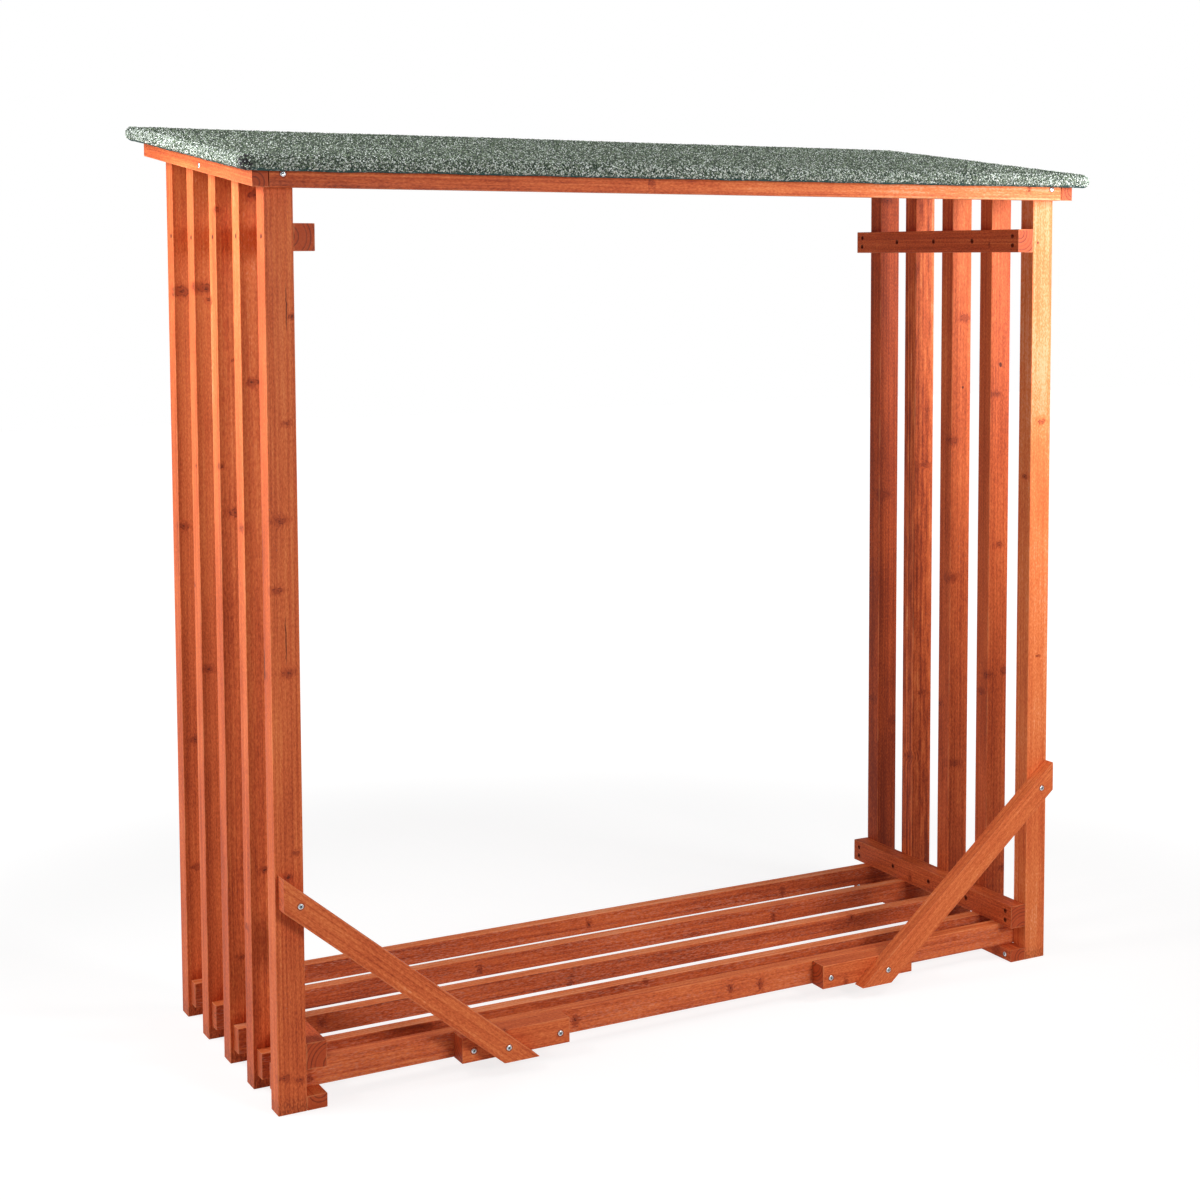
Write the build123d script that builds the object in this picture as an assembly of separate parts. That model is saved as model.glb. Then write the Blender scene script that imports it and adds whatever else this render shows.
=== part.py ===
from build123d import *
import math
import os

# An open log store: two slatted side walls, a slatted floor, two knee braces
# and a felted board roof that falls toward the open front.
# Millimetres, Z up, X along the width, Y from the front to the back,
# origin on the ground under the middle of the roof.

# Side walls: five upright timbers a side, all standing on the ground
wall_width = 1710.0          # outer face of the left wall to outer face of the right wall
slat_width = 52.0            # upright, across the front
slat_depth = 41.0            # upright, front to back
slat_pitch = 141.0           # front face to front face
slat_count = 5

# Rails along the inside of each wall
rail_thickness = 38.0
rail_height = 48.0
foot_rail_height = 26.0
upper_rail_drop = 60.0       # front beam's underside to the top of the upper rail

# Pockets on the rails' inner faces that take the heads of the screws
pocket_diameter = 8.0
pocket_depth = 7.0
pocket_spread = 20.0         # between the two pockets at an end upright

# Floor slats, on edge, their ends on the foot rails and held between the uprights
board_thickness = 28.0
board_height = 48.0
floor_relief = 9.0           # underside cut back between the foot rails, but not on the front slat
floor_end_inset = 7.0        # short of the wall's outer face at each end

# Knee braces and the blocks that carry their lower ends
brace_thickness = 31.0
brace_width = 46.0
brace_post_height = 373.0    # ground to the lower corner of the plumb cut
brace_end_inset = 6.0        # plumb cut short of the wall's outer face
brace_run = 415.0            # plumb cut to the near end of the level cut
brace_foot_height = 24.0     # ground to the level cut
block_start = 350.0          # near end of the block from the wall's outer face
block_length = 219.0

# Roof frame: two sloping side rafters, a front beam and a rear beam
batten_thickness = 28.0
batten_height = 32.0
front_headroom = 1629.0      # ground to the underside of the front beam
rafter_rear_reach = 52.0     # rafter past the rear upright
beam_end_gap = 2.0           # beam short of each rafter

# Roof: a board with mineral felt folded round its rounded edges
roof_angle = 6.6             # degrees, falling to the front
roof_side_overhang = 28.0    # past the rafter's outer face
roof_end_overhang = 30.0     # past the rafter's ends
roof_board_thickness = 20.0
felt_thickness = 3.5
felt_turn_under = 18.0       # felt folded under the board's rim
roof_edge_radius = 9.0

# Softened long edges of the planed timber
arris = 1.5

slope = math.tan(math.radians(roof_angle))
wall_depth = slat_pitch * (slat_count - 1) + slat_depth
rafter_run = batten_thickness + wall_depth + rafter_rear_reach
rafter_front = -rafter_run / 2
rafter_rear = rafter_run / 2
wall_front = rafter_front + batten_thickness
wall_rear = wall_front + wall_depth
wall_outer = wall_width / 2
wall_inner = wall_outer - slat_width
rail_inner = wall_inner - rail_thickness
floor_bottom = foot_rail_height
floor_top = floor_bottom + board_height
upper_rail_top = front_headroom - upper_rail_drop
upper_rail_bottom = upper_rail_top - rail_height


def roof_underside(y):
    """Height of the roof board's underside at a distance from the roof's middle."""
    return front_headroom + batten_height + slope * (y - rafter_front)


def soften(solid):
    """Round the four long edges of a timber."""
    return fillet(solid.edges().sort_by(SortBy.LENGTH)[-4:], arris)


def along_x(profile, x_start, x_end):
    """A timber whose front-to-back outline is carried across the width."""
    face = make_face(Polyline(*profile, close=True))
    face = Plane(origin=(x_start, 0, 0), x_dir=(0, 1, 0), z_dir=(1, 0, 0)) * face
    return soften(extrude(face, x_end - x_start))


def block(x_start, x_end, y_start, y_end, z_start, z_end):
    """A square-cut timber between two corners."""
    size = (x_end - x_start, y_end - y_start, z_end - z_start)
    return soften(Pos(x_start, y_start, z_start) * Box(*size, align=(Align.MIN,) * len(size)))


def under_roof(y_start, y_end, z_start):
    """Outline from a level foot up to the roof board's underside."""
    return [(y_start, z_start), (y_end, z_start),
            (y_end, roof_underside(y_end)), (y_start, roof_underside(y_start))]


pieces = {}


def add_pair(name, right_solid):
    """Keep a right-hand piece and its mirrored left-hand twin."""
    pieces["right_" + name] = right_solid
    pieces["left_" + name] = mirror(right_solid, about=Plane.YZ)


# Uprights, numbered from the front, their tops cut to the roof's fall
slat_fronts = [wall_front + slat_pitch * step for step in range(slat_count)]
for number, front in enumerate(slat_fronts, start=1):
    upright = along_x(under_roof(front, front + slat_depth, 0), wall_inner, wall_outer)
    add_pair("slat_" + str(number), upright)

# Rails screwed to the inside of the uprights: two screws at each end upright, one at each of the others
slat_middles = [front + slat_depth / 2 for front in slat_fronts]


def pocketed_rail(z_start):
    rail = block(rail_inner, wall_inner, wall_front, wall_rear, z_start, z_start + rail_height)
    rail_middle = z_start + rail_height / 2
    end_heights = [rail_middle - pocket_spread / 2, rail_middle + pocket_spread / 2]
    places = [(y, rail_middle) for y in slat_middles[1:-1]]
    places += [(y, z) for y in (slat_middles[0], slat_middles[-1]) for z in end_heights]
    pocket = Cylinder(pocket_diameter / 2, pocket_depth, rotation=(0, 90, 0),
                      align=(Align.CENTER, Align.CENTER, Align.MIN))
    for y, z in places:
        rail -= Pos(rail_inner, y, z) * pocket
    return rail


add_pair("foot_rail", block(rail_inner, wall_inner, wall_front, wall_rear, 0, foot_rail_height))
add_pair("lower_rail", pocketed_rail(floor_top))
add_pair("upper_rail", pocketed_rail(upper_rail_bottom))

# Floor slats: the first behind the front uprights, the others in front of the rest
floor_fronts = [wall_front + slat_depth]
floor_fronts += [front - board_thickness for front in slat_fronts[1:]]
floor_half = wall_outer - floor_end_inset
relief = Box(2 * rail_inner, board_thickness, floor_relief, align=(Align.CENTER, Align.MIN, Align.MIN))
for number, front in enumerate(floor_fronts, start=1):
    floor_slat = block(-floor_half, floor_half, front, front + board_thickness, floor_bottom, floor_top)
    if number > 1:
        floor_slat -= Pos(0, front, floor_bottom) * relief
    pieces["floor_slat_" + str(number)] = floor_slat

# Blocks on the front floor slat, level with the uprights' front faces
block_near = wall_outer - block_start
add_pair("brace_block", block(block_near - block_length, block_near, wall_front, wall_front + slat_depth,
                              floor_bottom, floor_top))

# Knee braces across the uprights and the blocks
brace_outer = wall_outer - brace_end_inset
brace_near = brace_outer - brace_run
brace_fall_angle = math.atan2(brace_post_height - brace_foot_height, brace_run)
plumb_cut = brace_width / math.cos(brace_fall_angle)
level_cut = brace_width / math.sin(brace_fall_angle)
brace_outline = [
    (brace_outer, brace_post_height),
    (brace_outer, brace_post_height + plumb_cut),
    (brace_near - level_cut, brace_foot_height),
    (brace_near, brace_foot_height),
]
brace_face = Plane(origin=(0, wall_front, 0), x_dir=(1, 0, 0), z_dir=(0, -1, 0)) * make_face(
    Polyline(*brace_outline, close=True))
add_pair("brace", soften(extrude(brace_face, brace_thickness)))

# Roof frame: rafters outside the walls, beams across the uprights between them
rafter_outline = [
    (rafter_front, roof_underside(rafter_front) - batten_height),
    (rafter_rear, roof_underside(rafter_rear) - batten_height),
    (rafter_rear, roof_underside(rafter_rear)),
    (rafter_front, roof_underside(rafter_front)),
]
add_pair("rafter", along_x(rafter_outline, wall_outer, wall_outer + batten_thickness))
beam_half = wall_outer - beam_end_gap
pieces["front_beam"] = along_x(under_roof(rafter_front, wall_front, front_headroom), -beam_half, beam_half)
rear_beam_bottom = roof_underside(wall_rear) - batten_height
pieces["rear_beam"] = along_x(under_roof(wall_rear, wall_rear + batten_thickness, rear_beam_bottom),
                              -beam_half, beam_half)

# Roof board with rounded rims, and the felt wrapped over it and under its rim
roof_half_width = wall_outer + batten_thickness + roof_side_overhang - felt_thickness
roof_half_length = (rafter_rear + roof_end_overhang) / math.cos(math.radians(roof_angle)) - felt_thickness
board_size = (2 * roof_half_width, 2 * roof_half_length, roof_board_thickness)
felt_size = [side + 2 * felt_thickness for side in board_size]


def rounded_sheet(size, radius):
    """A flat sheet with round corners and rims."""
    sheet = Box(*size)
    sheet = fillet(sheet.edges().filter_by(Axis.Z), radius)
    rims = sheet.faces().filter_by(Axis.Z).edges()
    return fillet(rims, radius)


flat_board = rounded_sheet(board_size, roof_edge_radius)
flat_felt = rounded_sheet(felt_size, roof_edge_radius + felt_thickness)
underside_opening = Pos(0, 0, -(roof_board_thickness + felt_thickness) / 2) * Box(
    2 * (roof_half_width - felt_turn_under), 2 * (roof_half_length - felt_turn_under), felt_thickness)
flat_felt = flat_felt - flat_board - underside_opening
middle_height = roof_underside(0) + roof_board_thickness / 2 / math.cos(math.radians(roof_angle))
roof_tilt = Pos(0, 0, middle_height) * Rot(roof_angle, 0, 0)
pieces["roof_board"] = roof_tilt * flat_board
pieces["roof_felt"] = roof_tilt * flat_felt

os.makedirs("parts", exist_ok=True)
for node, solid in pieces.items():
    export_step(solid, "parts/" + node + ".step")
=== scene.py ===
import math
import random

import bmesh
import bpy
import numpy as np
from mathutils import Color, Euler, Matrix, Vector, noise


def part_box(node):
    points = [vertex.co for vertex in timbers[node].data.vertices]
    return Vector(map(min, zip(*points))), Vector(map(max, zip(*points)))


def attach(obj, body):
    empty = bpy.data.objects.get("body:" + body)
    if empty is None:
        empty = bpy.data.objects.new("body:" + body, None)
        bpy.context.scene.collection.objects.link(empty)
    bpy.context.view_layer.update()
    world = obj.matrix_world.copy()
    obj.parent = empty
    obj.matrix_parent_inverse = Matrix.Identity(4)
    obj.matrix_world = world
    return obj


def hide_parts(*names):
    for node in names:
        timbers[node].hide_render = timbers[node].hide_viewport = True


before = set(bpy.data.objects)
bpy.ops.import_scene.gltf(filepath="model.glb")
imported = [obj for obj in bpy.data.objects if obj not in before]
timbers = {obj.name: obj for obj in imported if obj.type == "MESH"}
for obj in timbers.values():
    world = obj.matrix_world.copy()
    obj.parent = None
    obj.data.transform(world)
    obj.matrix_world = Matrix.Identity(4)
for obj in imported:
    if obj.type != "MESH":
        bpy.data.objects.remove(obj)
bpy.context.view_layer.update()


# Uprights: five planed softwood timbers a side that stand on the ground.
# Each is sawn from fast-grown fir with wide growth rings, dipped in a
# red-brown stain, and screwed from inside to the three rails of its wall.
mm = 0.001


def shade_of(red, green, blue):
    """A display colour, 0 to 255 a channel, as the linear colour that a finish takes."""
    full = 255
    return (*Color((red / full, green / full, blue / full)).from_srgb_to_scene_linear(), 1.0)


def add_step(tree, kind, feeds=None, **options):
    """Add one step of a finish, set its options, and set or link its inputs."""
    step = tree.nodes.new("ShaderNode" + kind)
    for option, choice in options.items():
        setattr(step, option, choice)
    for socket, feed in (feeds or {}).items():
        if isinstance(feed, bpy.types.NodeSocket):
            tree.links.new(feed, step.inputs[socket])
        else:
            step.inputs[socket].default_value = feed
    return step


def reckon(tree, operation, *terms):
    """One sum on numbers."""
    return add_step(tree, "Math", dict(enumerate(terms)), operation=operation).outputs[0]


def reckon_points(tree, operation, *terms):
    """One sum on points; a length or a product comes out as a number."""
    step = add_step(tree, "VectorMath", dict(enumerate(terms)), operation=operation)
    return step.outputs["Value" if operation in ("LENGTH", "DOT_PRODUCT") else "Vector"]


def fade(tree, value, start, end, at_start=0.0, at_end=1.0):
    """A smooth change from one number to another as the value goes from start to end."""
    feeds = {"Value": value, "From Min": start, "From Max": end, "To Min": at_start, "To Max": at_end}
    return add_step(tree, "MapRange", feeds, interpolation_type="SMOOTHSTEP").outputs["Result"]


def blend(tree, share, under, over):
    """Lay one colour over another by a share."""
    share_socket, under_socket, over_socket = 0, 6, 7
    colour_result = 2
    feeds = {share_socket: share, under_socket: under, over_socket: over}
    return add_step(tree, "Mix", feeds, data_type="RGBA").outputs[colour_result]


def colour_run(tree, value, stops, hard=False):
    """Colours along a value from 0 to 1."""
    step = add_step(tree, "ValToRGB", {"Fac": value})
    ramp = step.color_ramp
    ramp.interpolation = "CONSTANT" if hard else "LINEAR"
    while len(ramp.elements) < len(stops):
        ramp.elements.new(1.0)
    for element, (position, colour) in zip(ramp.elements, stops):
        element.position = position
        element.color = colour
    return step.outputs["Color"]


def clouds(tree, points, per_metre, detail):
    """Cloudy noise, with a count of clouds a metre along each axis."""
    drawn = reckon_points(tree, "MULTIPLY", points, per_metre)
    return add_step(tree, "TexNoise", {"Vector": drawn, "Scale": 1.0, "Detail": detail}).outputs["Fac"]


def even_noise(tree, points, scale, detail):
    """Noise that is alike in every direction, as a number and as a colour."""
    return add_step(tree, "TexNoise", {"Vector": points, "Scale": scale, "Detail": detail}).outputs


def ruffled(tree, points, scale, detail, reach):
    """Points pushed about by fine noise, so that a spot drawn there gets a ragged outline."""
    push = even_noise(tree, points, scale, detail)["Color"]
    return reckon_points(tree, "MULTIPLY_ADD", push, (reach,) * 3, points)


def nearest_spot(tree, points, spots):
    """How far a point is from the nearest spot, counted in that spot's own size."""
    nearest = None
    for place, size in spots:
        feeds = {"Vector": points, "Location": place, "Scale": size}
        offset = add_step(tree, "Mapping", feeds, vector_type="TEXTURE").outputs["Vector"]
        span = reckon_points(tree, "LENGTH", offset)
        nearest = span if nearest is None else reckon(tree, "MINIMUM", nearest, span)
    return nearest


def new_finish(name):
    """An empty finish with its output and its surface shader."""
    finish = bpy.data.materials.new(name)
    finish.use_nodes = True
    tree = finish.node_tree
    tree.nodes.clear()
    surface = add_step(tree, "BsdfPrincipled")
    add_step(tree, "OutputMaterial", {"Surface": surface.outputs["BSDF"]})
    return finish, tree, surface


# The stain's colours, from where it is thin to where it is deep, and those of ends, knots and wear; the
# palest stain also serves the painted light at lit ends, the pale arris colour is partly a painted
# highlight, and the pale flecks are partly painted sparkle.
palest_stain_and_light = shade_of(234, 154, 112)
pale_stain = shade_of(228, 126, 70)
warm_stain = shade_of(210, 101, 54)
deep_stain = shade_of(184, 79, 40)
dark_stain = shade_of(134, 52, 28)
stain_stops = [(0.0, palest_stain_and_light), (0.18, pale_stain), (0.45, warm_stain), (0.7, deep_stain),
               (1.0, dark_stain)]
end_stain = shade_of(172, 67, 32)
end_dark = shade_of(104, 36, 18)
end_stops = [(0.0, end_stain), (0.32, end_stain), (0.8, end_dark)]
pale_end_stops = [(0.0, deep_stain), (0.32, end_stain), (0.8, end_dark)]
worn_and_lit_arris = shade_of(230, 142, 92)
knot_flesh = shade_of(158, 62, 32)
knot_rim = shade_of(116, 44, 24)
knot_dark = shade_of(74, 30, 19)
pale_fibre_sparkle = shade_of(240, 196, 172)
saw_fuzz_and_sparkle = shade_of(214, 142, 118)

# Growth rings: their pitch, how far they wander, and how each darkens toward its late wood.
ring_pitch = 7.5 * mm
ring_reach = 16 * mm
ring_stops = [(0.0, shade_of(0, 0, 0)), (0.45, shade_of(90, 90, 90)), (0.84, shade_of(255, 255, 255)),
              (0.93, shade_of(240, 240, 240)), (1.0, shade_of(0, 0, 0))]
year_spread = 0.6
year_least = 0.4
pith_offset = (0.8, 2.2)
seed_reach = 40

# Clouds in the wood: how many a metre, the last number along the grain, and how fine they are.
fibre_clouds = ((430, 430, 5), 3)
streak_clouds = ((120, 120, 1.4), 4)
blotch_clouds = ((16, 16, 5), 3)
fuzz_clouds = ((420, 420, 170), 3)
wander_clouds = ((9, 9, 0.8), 1)
flame_clouds = ((110, 110, 18), 2)
rough_clouds = ((22, 22, 5), 2)
saw_clouds = ((700, 700, 100), 4)
torn_clouds = ((45, 45, 3), 2)
arris_wear_and_highlight_clouds = ((45, 45, 14), 3)

# How much each of them darkens the stain, and what keeps the mean tone in the middle of its colours.
fibre_share = 0.5
blotch_share = 0.6
fuzz_share = 0.9
streak_least = 0.3
streak_gain = 0.3
ring_gain = 0.14
flame_least = 0.12
flame_gain = 0.6
mean_tone = 0.505
ring_evening = 5

# Fades: where each starts and ends, and its strength at both.
painted_light_start = -0.6
sawn_shaded_facing = (0.5, 0.8)
end_face = (0.6, 0.9, 0.0, 0.8)
rough_edge = (0.58, 0.7)
fibre_sparkle_edge = (0.66, 0.76, 0.0, 0.3)
saw_edge = (0.47, 0.68, 0.0, 0.6)
torn_edge = (0.38, 0.6, 0.3, 1.0)
arris_wear_and_highlight_widths = (0.4, 0.75, 1.0 * mm, 4.0 * mm)
arris_wear_and_highlight_strength = (0.5, 0.0)
splash_reach = 40 * mm
splash_edge = (14 * mm, -12 * mm)
grime_specks = (0.4, 0.6, 0.1, 0.38)

# Knots: flattened along the grain, ragged, with the rings bulging round them and a patchy rim and heart.
knot_share = 0.9
knot_flatness = 0.42
gnarl_noise = (130.0, 3.0)
gnarl_reach = 12 * mm
knot_bulge = (0.6, 3.2, 8 * mm, 0.0)
knot_halo = (0.8, 2.6, 0.18, 0.0)
knot_body = (1.25, 0.7, 0.0, 0.6)
knot_noise = (150.0, 2.0)
knot_rim_span = 0.95
knot_rim_edge = (0.26, 0.1)
knot_rim_patches = (0.44, 0.62, 0.0, 0.75)
heart_edge = (0.5, 0.25)
heart_patches = (0.4, 0.58, 0.1, 0.8)
mark_noise = (60.0, 2.0)
mark_reach = 4 * mm
mark_edge = (1.1, 0.7, 0.0, 0.9)

# The stain's satin surface and the relief of the grain.
satin_gloss = 0.16
rough_least = 0.42
fibre_roughness = 0.3
ring_polish = 0.06
ring_relief = 0.25
fuzz_relief = 0.8
grain_strength = 0.3
grain_depth = 0.7 * mm
grain_up = (0, 0, 0)


def stained_timber(piece, turn, knots, depth=0.0, figure=1.0, marks=(), painted_light_along=0.0, sawn_and_shaded=0.0,
                   pale_ends=False):
    """Stained softwood for one timber: growth rings round a pith that runs along it, fibres, knots,
    marks and worn arrises partly painted as highlights, pale flecks partly painted as sparkle, painted
    shade on sawn sides when asked, and painted light that pales it toward one end when asked."""
    chance = random.Random(piece)
    lengthways = Euler(turn).to_matrix().transposed() @ Vector((0, 0, 1))
    turned = [Euler(turn).to_matrix() @ corner.co for corner in timbers[piece].data.vertices]
    low = Vector([min(point[axis] for point in turned) for axis in range(3)])
    high = Vector([max(point[axis] for point in turned) for axis in range(3)])
    half = (high - low) / 2
    pith_angle = chance.uniform(0, math.tau)
    pith_reach = chance.uniform(*pith_offset) * half.x
    pith = (pith_reach * math.cos(pith_angle), pith_reach * math.sin(pith_angle), 0)
    seed = [chance.uniform(-seed_reach, seed_reach) for axis in range(3)]

    finish, tree, surface = new_finish("timber_" + piece)
    texture = add_step(tree, "TexCoord").outputs
    feeds = {"Vector": texture["Object"], "Location": -(low + high) / 2, "Rotation": turn}
    points = add_step(tree, "Mapping", feeds).outputs["Vector"]
    seeded = reckon_points(tree, "ADD", points, seed)

    fibre = clouds(tree, seeded, *fibre_clouds)
    streak = clouds(tree, seeded, *streak_clouds)
    blotch = clouds(tree, seeded, *blotch_clouds)
    fuzz = clouds(tree, seeded, *fuzz_clouds)
    wander = clouds(tree, seeded, *wander_clouds)
    flame = clouds(tree, seeded, *flame_clouds)

    from_pith = reckon_points(tree, "SUBTRACT", points, pith)
    across = reckon_points(tree, "MULTIPLY", from_pith, (1, 1, 0))
    radius = reckon_points(tree, "LENGTH", across)
    radius = reckon(tree, "MULTIPLY_ADD", wander, ring_reach, radius)
    knot_points = ruffled(tree, texture["Object"], *gnarl_noise, gnarl_reach)
    spots = []
    for x, y, z, size in knots:
        place = Vector((x, y, z)) * mm + Vector((gnarl_reach,) * 3) / 2
        reach = [size * mm * knot_share * (1 - knot_flatness * abs(share)) for share in lengthways]
        spots.append((place, reach))
    knot_span = nearest_spot(tree, knot_points, spots)
    radius = reckon(tree, "ADD", radius, fade(tree, knot_span, *knot_bulge))
    ring_count = reckon(tree, "DIVIDE", radius, ring_pitch)
    late_wood = colour_run(tree, reckon(tree, "FRACT", ring_count), ring_stops)
    years = add_step(tree, "TexWhiteNoise", {"W": reckon(tree, "FLOOR", ring_count)},
                     noise_dimensions="1D").outputs["Value"]
    rings = reckon(tree, "MULTIPLY", late_wood, reckon(tree, "MULTIPLY_ADD", years, year_spread, year_least))

    streak_share = streak_least + streak_gain * figure
    ring_share = ring_gain * figure
    flame_share = flame_least + flame_gain * (figure - 1)
    base = depth - mean_tone - streak_share / 2 - ring_share / ring_evening - flame_share / 2
    tone = reckon(tree, "MULTIPLY_ADD", rings, ring_share, base)
    for cloud, share in ((flame, flame_share), (streak, streak_share), (fibre, fibre_share),
                         (blotch, blotch_share), (fuzz, fuzz_share)):
        tone = reckon(tree, "MULTIPLY_ADD", cloud, share, tone)
    # Painted light: the timber is drawn paler toward its far end along the grain, where the light is
    # stronger.
    if painted_light_along:
        along = add_step(tree, "SeparateXYZ", {"Vector": points}).outputs["Z"]
        painted_light = fade(tree, along, painted_light_start * half.z, half.z, 0.0, painted_light_along)
        tone = reckon(tree, "SUBTRACT", tone, painted_light)
    # Faces looking forward or back are drawn darker: partly rough-sawn wood, partly painted shade for tops
    # lit from above.
    if sawn_and_shaded:
        facing_side = add_step(tree, "SeparateXYZ", {"Vector": texture["Normal"]}).outputs["Y"]
        sawn_shaded_side = fade(tree, reckon(tree, "ABSOLUTE", facing_side), *sawn_shaded_facing)
        tone = reckon(tree, "MULTIPLY_ADD", sawn_shaded_side, sawn_and_shaded, tone)
    tone = reckon(tree, "ADD", tone, fade(tree, knot_span, *knot_halo))
    colour = colour_run(tree, tone, stain_stops)

    facing = reckon(tree, "ABSOLUTE", reckon_points(tree, "DOT_PRODUCT", texture["Normal"], lengthways))
    end_grain = colour_run(tree, rings, pale_end_stops if pale_ends else end_stops)
    colour = blend(tree, fade(tree, facing, *end_face), colour, end_grain)

    # Pale flecks: partly raised fibres of their own paler colour, partly painted sparkle of light on them;
    # the fuzz on sawn sides is the same mix.
    rough_patch = fade(tree, clouds(tree, seeded, *rough_clouds), *rough_edge)
    fibre_sparkle_mask = reckon(tree, "MULTIPLY", fade(tree, fuzz, *fibre_sparkle_edge), rough_patch)
    if sawn_and_shaded:
        saw_fuzz_sparkle_mask = fade(tree, clouds(tree, seeded, *saw_clouds), *saw_edge)
        torn_patch = fade(tree, clouds(tree, seeded, *torn_clouds), *torn_edge)
        saw_fuzz_sparkle_mask = reckon(tree, "MULTIPLY", saw_fuzz_sparkle_mask, reckon(tree, "MULTIPLY", torn_patch, sawn_shaded_side))
        colour = blend(tree, saw_fuzz_sparkle_mask, colour, saw_fuzz_and_sparkle)
    colour = blend(tree, fibre_sparkle_mask, colour, pale_fibre_sparkle)

    patchy = even_noise(tree, texture["Object"], *knot_noise)["Fac"]
    colour = blend(tree, fade(tree, knot_span, *knot_body), colour, knot_flesh)
    from_rim = reckon(tree, "ABSOLUTE", reckon(tree, "SUBTRACT", knot_span, knot_rim_span))
    rim = fade(tree, from_rim, *knot_rim_edge)
    rim = reckon(tree, "MULTIPLY", rim, fade(tree, patchy, *knot_rim_patches))
    colour = blend(tree, rim, colour, knot_rim)
    heart = fade(tree, knot_span, *heart_edge)
    heart = reckon(tree, "MULTIPLY", heart, fade(tree, patchy, *heart_patches))
    colour = blend(tree, heart, colour, knot_dark)
    if marks:
        mark_points = ruffled(tree, texture["Object"], *mark_noise, mark_reach)
        middle = Vector((mark_reach,) * 3) / 2
        spots = [(Vector(place) * mm + middle, Vector(size) * mm) for place, size in marks]
        mark = fade(tree, nearest_spot(tree, mark_points, spots), *mark_edge)
        colour = blend(tree, mark, colour, knot_dark)

    inside = reckon_points(tree, "SUBTRACT", half, reckon_points(tree, "ABSOLUTE", points))
    reach = add_step(tree, "SeparateXYZ", {"Vector": inside}).outputs
    shorter = reckon(tree, "MINIMUM", reach["X"], reach["Y"])
    longer = reckon(tree, "MAXIMUM", reach["X"], reach["Y"])
    arris = reckon(tree, "MAXIMUM", shorter, reckon(tree, "MINIMUM", longer, reach["Z"]))
    # Pale arrises: partly rubbed wear, partly a painted highlight along the edges.
    arris_wear_and_highlight_width = fade(tree, clouds(tree, seeded, *arris_wear_and_highlight_clouds), *arris_wear_and_highlight_widths)
    colour = blend(tree, fade(tree, arris, 0.0, arris_wear_and_highlight_width, *arris_wear_and_highlight_strength), colour, worn_and_lit_arris)

    if turn == grain_up:
        above_ground = add_step(tree, "SeparateXYZ", {"Vector": texture["Object"]}).outputs["Z"]
        splash = reckon(tree, "MULTIPLY_ADD", blotch, -splash_reach, above_ground)
        grime = fade(tree, splash, *splash_edge)
        grime = reckon(tree, "MULTIPLY", grime, fade(tree, fuzz, *grime_specks))
        colour = blend(tree, grime, colour, knot_dark)

    tree.links.new(colour, surface.inputs["Base Color"])
    surface.inputs["Specular IOR Level"].default_value = satin_gloss
    rough = reckon(tree, "MULTIPLY_ADD", fibre, fibre_roughness, rough_least)
    rough = reckon(tree, "MULTIPLY_ADD", rings, -ring_polish, rough)
    tree.links.new(rough, surface.inputs["Roughness"])
    height = reckon(tree, "MULTIPLY_ADD", rings, ring_relief, fibre)
    height = reckon(tree, "MULTIPLY_ADD", fuzz, fuzz_relief, height)
    feeds = {"Height": height, "Strength": grain_strength, "Distance": grain_depth}
    tree.links.new(add_step(tree, "Bump", feeds).outputs["Normal"], surface.inputs["Normal"])
    timbers[piece].data.materials.clear()
    timbers[piece].data.materials.append(finish)


# Knots as seen on each upright: place and size in millimetres.
upright_knots = {
    "left_slat_1": [(-808, -314, 1409, 7), (-821, -314, 1225, 7), (-834, -314, 1056, 11),
                    (-841, -314, 935, 10), (-855, -278, 782, 9), (-824, -314, 788, 12), (-817, -314, 468, 7),
                    (-831, -314, 426, 9), (-843, -314, 67, 9), (-815, -314, 58, 8)],
    "left_slat_2": [(-827, -174, 1621, 11), (-834, -174, 1288, 12), (-855, -157, 1027, 10),
                    (-828, -174, 404, 9), (-855, -149, 295, 9)],
    "left_slat_3": [(-855, -34, 1596, 9), (-824, -32, 1322, 6), (-827, -32, 1040, 13), (-855, -28, 1127, 8),
                    (-831, -32, 201, 7)],
    "left_slat_4": [(-835, 108, 1452, 16), (-823, 108, 1431, 9), (-855, 115, 1456, 12), (-855, 120, 1115, 6),
                    (-841, 108, 725, 9)],
    "left_slat_5": [(-841, 250, 1444, 18), (-844, 250, 985, 11), (-834, 250, 302, 8), (-830, 250, 560, 10)],
    "right_slat_1": [(832, -314, 1163, 10), (829, -314, 660, 6)],
    "right_slat_2": [(820, -174, 1214, 9), (831, -174, 883, 10), (847, -174, 603, 10),
                     (803, -151, 558, 9), (848, -174, 160, 9)],
    "right_slat_3": [(838, -33, 1376, 14), (808, -32, 1102, 12), (808, -32, 793, 13), (820, -32, 369, 12)],
    "right_slat_4": [(836, 108, 1035, 9), (828, 108, 506, 6)],
    "right_slat_5": [(822, 250, 1643, 12), (815, 250, 953, 14), (850, 250, 409, 11)],
}
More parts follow.
